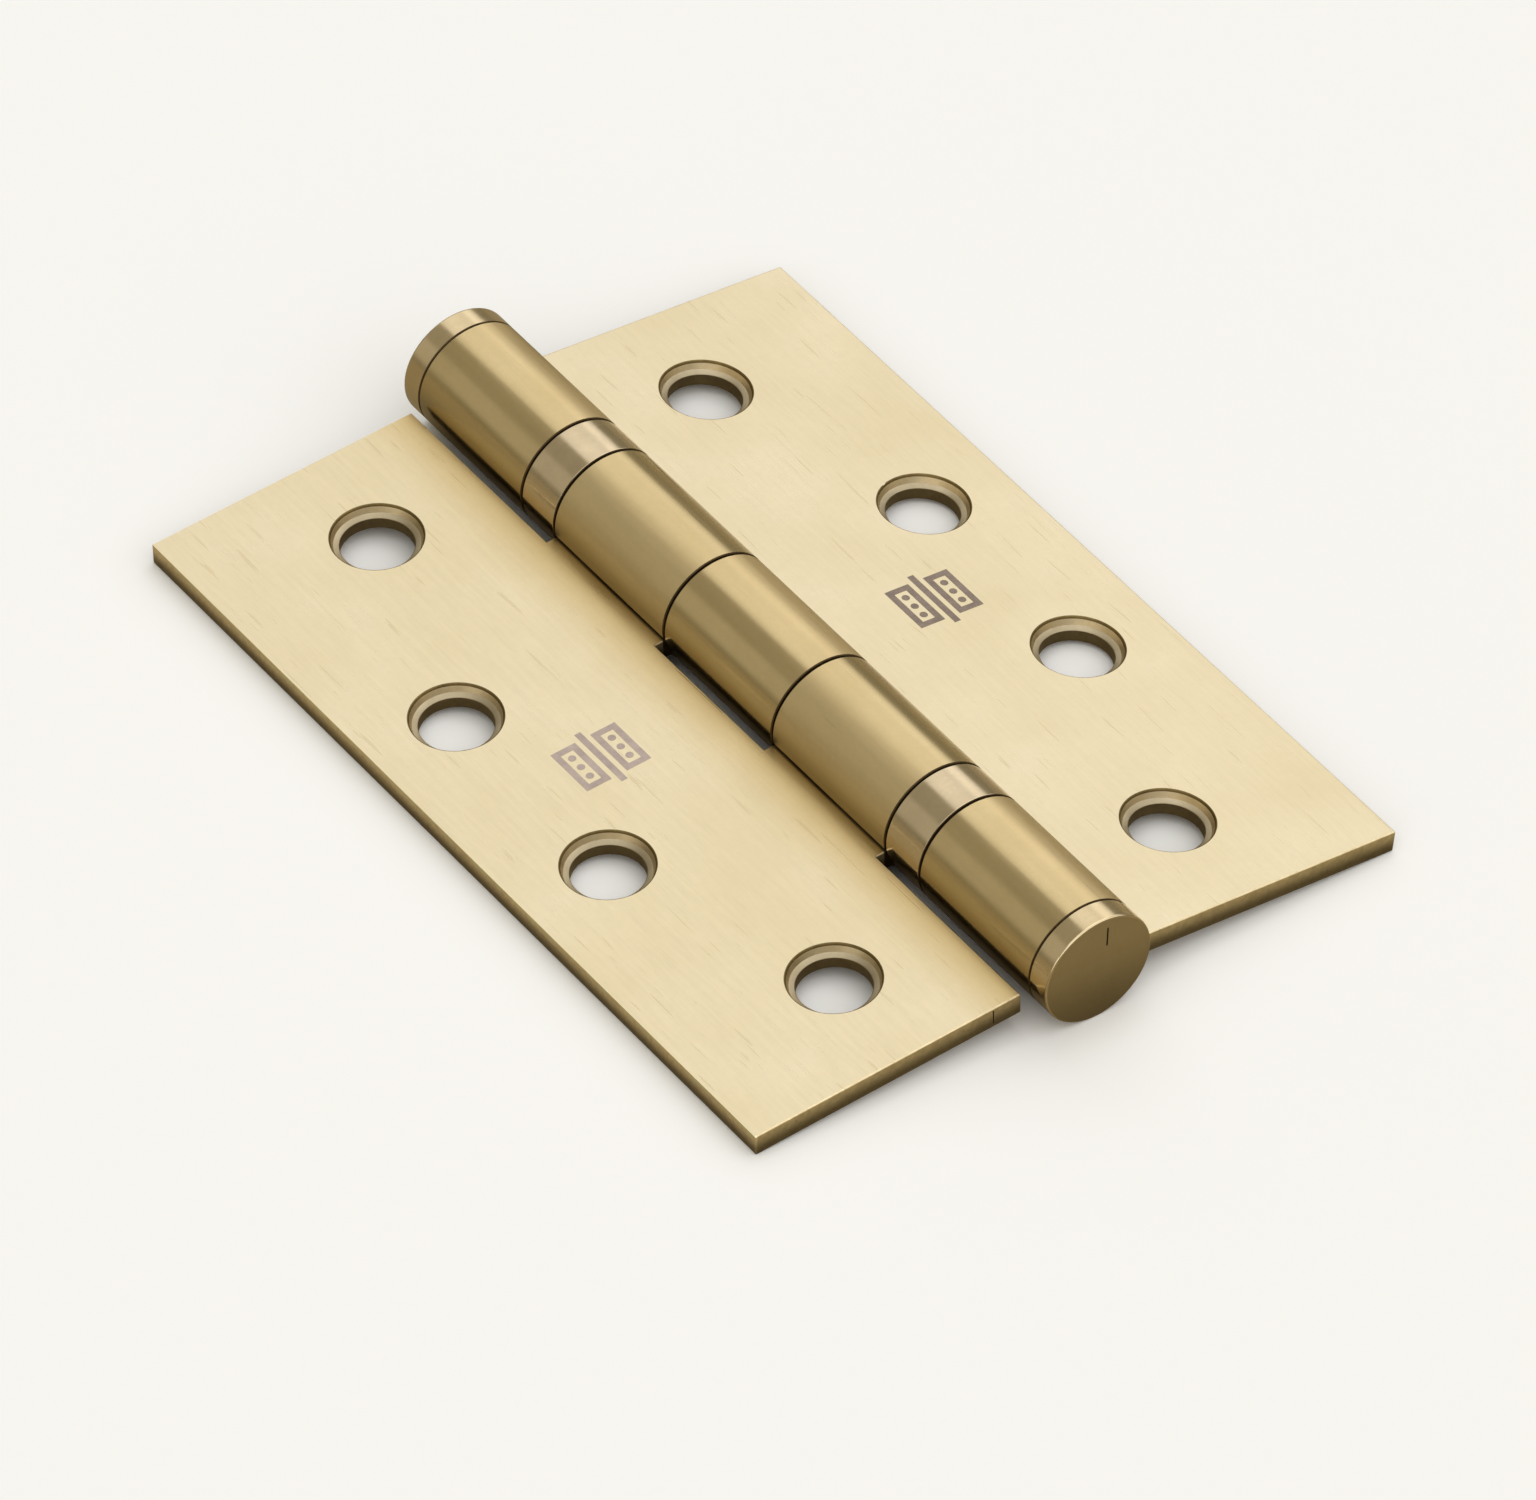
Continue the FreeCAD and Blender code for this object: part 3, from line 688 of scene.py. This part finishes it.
def leafFinish(face):
    place, normal = face.center / mm, face.normal
    corners = [face.id_data.vertices[index].co / mm for index in face.vertices]
    upperSide = -leafShape["faceDrop"]
    underside = upperSide - leafShape["gauge"]
    rolledWithin = leafShape["notchEdge"] - 0.4       # a face wholly this near the pin is on the roll
    # the knuckles' ends, the bore and the notch's edge take the gap finish, which is painted shade
    if max(corner.x for corner in corners) < rolledWithin:
        inBore = math.hypot(place.x, place.z) < barrelRadius - 3 * close
        return "gap" if abs(normal.y) > leaning or inBore else "barrel"
    if place.x < leafShape["notchEdge"] + seatShape["margin"] and normal.x < -leaning:
        return "gap"
    onFace = all(min(abs(corner.z - upperSide), abs(corner.z - underside)) < close for corner in corners)
    if abs(normal.z) > facing and onFace:
        return "face"
    toSeat = nearSeat(face.center)
    if toSeat > seatShape["rim"] + seatShape["margin"]:
        return "edge"
    if place.z > upperSide - seatShape["rimDepth"]:
        return "rim"
    if toSeat < seatShape["hole"] + 2 * close:
        return "shank"
    return "wall" if place.z > upperSide - seatShape["wallDepth"] else "shoulder"


def insideBox(place, low, high):
    return all(low[axis] - close / 10 < place[axis] < high[axis] + close / 10 for axis in range(3))


def leafMesh(name, gaps, turn, materials, nicks=()):
    mesh = prism(name, stripOutline(), -leafHalfLength, leafHalfLength)
    cutters = [boxMesh("gapCutter", (-barrelRadius - past, low, -barrelRadius - past),
                       (leafShape["notchEdge"], high, barrelRadius + past)) for low, high in gaps]
    for x, y in seatShape["places"]:
        cutter = seatCutter()
        cutter.transform(Matrix.Translation((x * mm, y * mm, 0)))
        cutters.append(cutter)
    mesh = cutAway(name, mesh, cutters)
    mesh = softenEdges(mesh)
    if nicks:
        mesh = cutAway(name, mesh, [boxMesh("nick", low, high) for low, high in nicks])
    giveFinishes(mesh, materials, leafFinish)
    # the nick's faces take the gap finish, painted shade
    for face in mesh.polygons:
        if any(insideBox(face.center / mm, low, high) for low, high in nicks):
            face.material_index = list(materials).index("gap")
    mesh.transform(turn)
    return evenShading(mesh)


halfGap = seams["gap"] / 2
jambGaps = [(seams["middle"] - halfGap, seams["outer"] + halfGap),
            (-seams["outer"] - halfGap, -seams["middle"] + halfGap)]
doorGaps = [(seams["inner"] - halfGap, leafHalfLength + past),
            (-seams["middle"] - halfGap, seams["middle"] + halfGap),
            (-leafHalfLength - past, -seams["inner"] + halfGap)]
edgeNick = {"across": (10.42, 10.58), "upright": (-3.0, -1.35), "depth": 0.06}
doorNicks = [((edgeNick["across"][0], leafHalfLength - edgeNick["depth"], edgeNick["upright"][0]),
              (edgeNick["across"][1], leafHalfLength + past, edgeNick["upright"][1]))]
droop = math.radians(leafShape["droop"])
jambTurn = Matrix.Rotation(droop, 4, "Y")
doorTurn = Matrix.Rotation(math.pi, 4, Vector((-math.sin(droop / 2), 0, math.cos(droop / 2))))
sharedMetals = {"wall": metals["seatWallHighlight"], "gap": metals["gapShade"], "rim": metals["seatRimShade"],
                "shank": metals["seatShankShade"], "shoulder": metals["seatShoulderShade"]}
jambMetals = {"face": metals["leafFace"], "barrel": metals["barrel"], "edge": metals["leafEdge"],
              **sharedMetals}
doorMetals = {"face": metals["doorLeafFace"], "barrel": metals["doorBarrel"], "edge": metals["doorLeafEdge"],
              **sharedMetals}
newPiece("jambLeaf", leafMesh("jambLeaf", jambGaps, jambTurn, jambMetals), "jamb",
         ["jamb_leaf"])
newPiece("doorLeaf", leafMesh("doorLeaf", doorGaps, doorTurn, doorMetals, doorNicks), "door",
         ["door_leaf"])
print("leaves made")


# end caps and bearing shells

capShape = {"height": 2.7, "edge": 0.25, "innerEdge": 0.16, "spigotLength": 2.8, "spigotEdge": 0.2,
            "steps": 144, "nickLow": (0.72, 2.7), "nickHigh": (0.92, 5.0), "nickDepth": 0.06}
shellShape = {"wall": 0.5, "softness": 0.15, "steps": 144}


def capMesh(name, side):
    bore = barrelRadius - leafShape["gauge"]
    seat = leafHalfLength                             # where the cap meets the end of the leaf
    spigotEnd = seat - capShape["spigotLength"]
    end = seat + capShape["height"]
    corners = [(0, spigotEnd, 0), (bore, spigotEnd, capShape["spigotEdge"]),
               (bore, seat, 0), (barrelRadius, seat, capShape["innerEdge"]),
               (barrelRadius, end, capShape["edge"]), (0, end, 0)]
    profile = [(radius, side * along) for radius, along in softenCorners(corners)]
    mesh = turned(name, profile, capShape["steps"])
    if side < 0:
        (left, low), (right, high) = capShape["nickLow"], capShape["nickHigh"]
        mesh = cutAway(name, mesh, [boxMesh("nick", (left, -end - past, low),
                                            (right, -end + capShape["nickDepth"], high))])

    def capFinish(face):
        # the seam and the nick are dark inside, and the end face darker than the side: painted shade
        along = abs(face.center.y) / mm
        inNick = face.center.xz.length / mm < barrelRadius - 2 * capShape["edge"] and along < end - close
        if along < seat + capShape["innerEdge"] or inNick:
            return "gap"
        return "end" if abs(face.normal.y) > facing else "rim"

    giveFinishes(mesh, {"rim": metals["capBrass"], "end": metals["capEndShade"], "gap": metals["gapShade"]},
                 capFinish)
    return evenShading(mesh)


def shellMesh(name, side):
    low, high = seams["inner"] + halfGap, seams["outer"] - halfGap
    inner = barrelRadius - shellShape["wall"]
    soft = shellShape["softness"]
    corners = [(inner, low, 0), (barrelRadius, low, soft), (barrelRadius, high, soft), (inner, high, 0)]
    profile = [(radius, side * along) for radius, along in softenCorners(corners)]
    mesh = turned(name, profile, shellShape["steps"])
    # the shell's ends, in the seams, take painted shade
    giveFinishes(mesh, {"band": metals["bearingBrass"], "gap": metals["gapShade"]},
                 lambda face: "gap" if abs(face.normal.y) > leaning else "band")
    return evenShading(mesh)


for end, side in (("top", 1), ("bottom", -1)):
    newPiece(end + "Cap", capMesh(end + "Cap", side), "jamb", [end + "_cap"])
    newPiece(end + "BearingShell", shellMesh(end + "BearingShell", side), "jamb",
             [end + "_bearing_shell"])
print("caps and bearing shells made")


# etched mark on each leaf: an open hinge, drawn in plain strokes

markShape = {
    "place": (20.4, 0.3),
    "height": 8.0,
    "leafWidth": 2.9,
    "leafHeight": 6.2,
    "stroke": 0.72,
    "gap": 0.55,              # between the barrel stroke and the leaves
    "dot": 0.42,
    "dotSpread": 0.48,        # share of half the leaf's height from one dot to the next
    "dotSteps": 24,
    "proud": 0.012,
    "sunk": 0.03,
}


def markMesh(name, turn, metal):
    shape = bmesh.new()
    top = -leafShape["faceDrop"] + markShape["proud"]
    low = -leafShape["faceDrop"] - markShape["sunk"]
    middle = Vector((*markShape["place"], 0))

    def corner(x, y, z):
        return shape.verts.new((middle + Vector((x, y, z))) * mm)

    def raisedStroke(outer, inner=None):
        loops = []
        for z in (low, top):
            loops.append([corner(x, y, z) for x, y in outer])
            if inner:
                loops.append([corner(x, y, z) for x, y in inner])
        if not inner:
            for loop in loops:
                shape.faces.new(loop)
            pairs = [(loops[0], loops[1])]
        else:
            pairs = [(loops[0], loops[2]), (loops[1], loops[3]), (loops[0], loops[1]), (loops[2], loops[3])]
        for first, second in pairs:
            for index in range(len(first)):
                following = (index + 1) % len(first)
                shape.faces.new((first[index], first[following], second[following], second[index]))

    def rectangle(left, right, bottom, topSide):
        return [(left, bottom), (right, bottom), (right, topSide), (left, topSide)]

    stroke = markShape["stroke"]
    raisedStroke(rectangle(-stroke / 2, stroke / 2, -markShape["height"] / 2, markShape["height"] / 2))
    for side in (-1, 1):
        near = side * (stroke / 2 + markShape["gap"])
        far = near + side * markShape["leafWidth"]
        left, right = sorted((near, far))
        half = markShape["leafHeight"] / 2
        raisedStroke(rectangle(left, right, -half, half),
                     rectangle(left + stroke, right - stroke, -half + stroke, half - stroke))
        for level in (-1, 0, 1):
            centre = ((left + right) / 2, level * half * markShape["dotSpread"])
            raisedStroke(arcPoints(centre, markShape["dot"], 0, 2 * math.pi, markShape["dotSteps"])[:-1])
    mesh = closedMesh(name, shape)
    giveFinishes(mesh, {"mark": metal})
    mesh.transform(turn)
    return mesh


for body, turn, look in (("jamb", jambTurn, "etchedMark"), ("door", doorTurn, "doorEtchedMark")):
    newPiece(body + "Mark", markMesh(body + "Mark", turn, metals[look]), body)
print("marks made")


# the balls are made anew; the pin, races and cages keep their CAD shape and take a finish

ballShape = {"subdivisions": 3}


def ballMesh(name, node):
    low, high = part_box(node)
    shape = bmesh.new()
    bmesh.ops.create_icosphere(shape, subdivisions=ballShape["subdivisions"], radius=(high.y - low.y) / 2,
                               matrix=Matrix.Translation((Vector(low) + Vector(high)) / 2))
    mesh = closedMesh(name, shape)
    giveFinishes(mesh, {"ball": metals["ballSteel"]})
    return evenShading(mesh)


for nodeName in sorted(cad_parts):
    end, kind, number = (nodeName.split("_") + ["", ""])[:3]
    if kind == "ball" and number.isdigit():
        name = end + "Ball" + number
        newPiece(name, ballMesh(name, nodeName), end + "_balls", [nodeName])
print("balls made")

innerFinish = {"hinge_pin": "pinSteel", "race": "raceSteel", "ball_cage": "cageBrass"}

for nodeName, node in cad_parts.items():
    if node.hide_render:
        continue
    chosen = next((finishName for part, finishName in innerFinish.items() if part in nodeName), None)
    node.data.materials.clear()
    node.data.materials.append(metals[chosen])
print("inner pieces finished")


# floor, light and camera

stageSetting = {
    "floorWidth": 30.0,
    "floorColour": (0.955, 0.962, 0.98),
    # painted shade: the floor's colour in the metal's reflections, darker and warmer than it looks to the
    # camera
    "floorShadeInMetal": (0.34, 0.29, 0.19),
}
# soft panels of light, each over a range of directions (x, y, z), with a soft border; a limit beyond
# 1 or -1 leaves the panel open on that side
panels = {
    "backRight": {"x": (-0.04, 1.3), "y": (0.05, 1.3), "z": (0.33, 1.3), "border": 0.08,
                  "colour": (1.0, 1.0, 1.0), "strength": 0.68},
    "backRightCore": {"x": (0.56, 1.3), "y": (0.10, 1.3), "z": (0.42, 0.68), "border": 0.10,
                      "colour": (1.0, 1.0, 1.0), "strength": 0.32},
    "backHigh": {"x": (0.10, 0.46), "y": (0.05, 1.3), "z": (0.68, 1.3), "border": 0.16,
                 "colour": (1.0, 0.98, 0.93), "strength": 0.10},
    "backTop": {"x": (-0.55, 0.0), "y": (0.05, 1.3), "z": (0.45, 1.3), "border": 0.20,
                "colour": (1.0, 0.95, 0.84), "strength": 0.10},
    "backLeft": {"x": (-1.3, -0.52), "y": (0.05, 1.3), "z": (0.14, 0.62), "border": 0.14,
                 "colour": (1.0, 0.95, 0.84), "strength": 0.24},
    "left": {"x": (-1.3, -0.86), "y": (-0.45, 0.05), "z": (-0.2, 0.40), "border": 0.10,
             "colour": (1.0, 0.98, 0.92), "strength": 0.9},
    "front": {"x": (-1.3, 1.3), "y": (-1.3, -0.15), "z": (0.26, 1.3), "border": 0.16,
              "colour": (1.0, 1.0, 1.0), "strength": 0.92},
    "overhead": {"x": (-0.70, 0.70), "y": (-0.16, 0.36), "z": (0.70, 1.3), "border": 0.16,
                 "colour": (0.97, 0.98, 1.0), "strength": 0.85},
}
surround = {"colour": (0.25, 0.225, 0.155), "strength": 1.0}

cameraSetting = {
    "aim": (-8.04, -10.88, 0.11),
    "distance": 1350.5,
    "azimuth": -37.53,
    "elevation": 42.20,
    "roll": 2.48,
    "lens": 327.4,
    "sensor": 36.0,
    "clip": (0.05, 60.0),
}


def makeFloor():
    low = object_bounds()[0].z
    half = stageSetting["floorWidth"] / 2
    shape = bmesh.new()
    bmesh.ops.create_grid(shape, x_segments=4, y_segments=4, size=half)
    mesh = bpy.data.meshes.new("floor")
    shape.to_mesh(mesh)
    shape.free()
    floor = bpy.data.objects.new("floor", mesh)
    floor.location.z = low
    bpy.context.scene.collection.objects.link(floor)
    material = bpy.data.materials.new("floorPaper")
    material.use_nodes = True
    tree = material.node_tree
    tree.nodes.clear()
    output = tree.nodes.new("ShaderNodeOutputMaterial")
    # in the metal's reflections the floor takes a darker colour, painted shade
    seenInMetal = tree.nodes.new("ShaderNodeLightPath").outputs["Is Glossy Ray"]
    colour = blendColours(tree, seenInMetal, stageSetting["floorColour"], stageSetting["floorShadeInMetal"])
    paper = addNode(tree, "ShaderNodeBsdfDiffuse", Color=colour)
    tree.links.new(paper.outputs[0], output.inputs["Surface"])
    mesh.materials.append(material)


def makeWorld():
    world = bpy.data.worlds.new("studio")
    bpy.context.scene.world = world
    world.use_nodes = True
    tree = world.node_tree
    tree.nodes.clear()
    output = tree.nodes.new("ShaderNodeOutputWorld")
    direction = tree.nodes.new("ShaderNodeTexCoord").outputs["Generated"]
    parts = addNode(tree, "ShaderNodeSeparateXYZ", Vector=direction)
    light = tuple(value * surround["strength"] for value in surround["colour"])
    for panel in panels.values():
        amount = panel["strength"]
        for axis, label in enumerate(("x", "y", "z")):
            low, high = panel[label]
            half = panel["border"] / 2
            rise = remap(tree, parts.outputs[axis], low - half, low + half, smooth=True)
            fall = remap(tree, parts.outputs[axis], high - half, high + half, 1.0, 0.0, smooth=True)
            amount = mathNode(tree, "MULTIPLY", mathNode(tree, "MULTIPLY", rise, fall), amount)
        scaled = addNode(tree, "ShaderNodeVectorMath", {"operation": "SCALE"}, i0=panel["colour"],
                         Scale=amount)
        light = vectorNode(tree, "ADD", light, scaled.outputs[0])
    background = addNode(tree, "ShaderNodeBackground", Color=light, Strength=1.0)
    tree.links.new(background.outputs[0], output.inputs["Surface"])


def makeCamera():
    data = bpy.data.cameras.new("camera")
    camera = bpy.data.objects.new("camera", data)
    bpy.context.scene.collection.objects.link(camera)
    azimuth, elevation, roll = (math.radians(cameraSetting[key]) for key in ("azimuth", "elevation", "roll"))
    back = Vector((math.sin(azimuth) * math.cos(elevation), -math.cos(azimuth) * math.cos(elevation),
                   math.sin(elevation)))
    aim = Vector(cameraSetting["aim"]) * mm
    facing = (-back).to_track_quat("-Z", "Y").to_matrix().to_4x4() @ Matrix.Rotation(roll, 4, "Z")
    camera.matrix_world = Matrix.Translation(aim + back * cameraSetting["distance"] * mm) @ facing
    data.lens = cameraSetting["lens"]
    data.sensor_width = cameraSetting["sensor"]
    data.clip_start, data.clip_end = cameraSetting["clip"]
    bpy.context.scene.camera = camera


makeFloor()
makeWorld()
makeCamera()
bpy.context.scene.view_settings.view_transform = "Standard"
bpy.context.scene.cycles.use_denoising = True
print("stage, light and camera made")
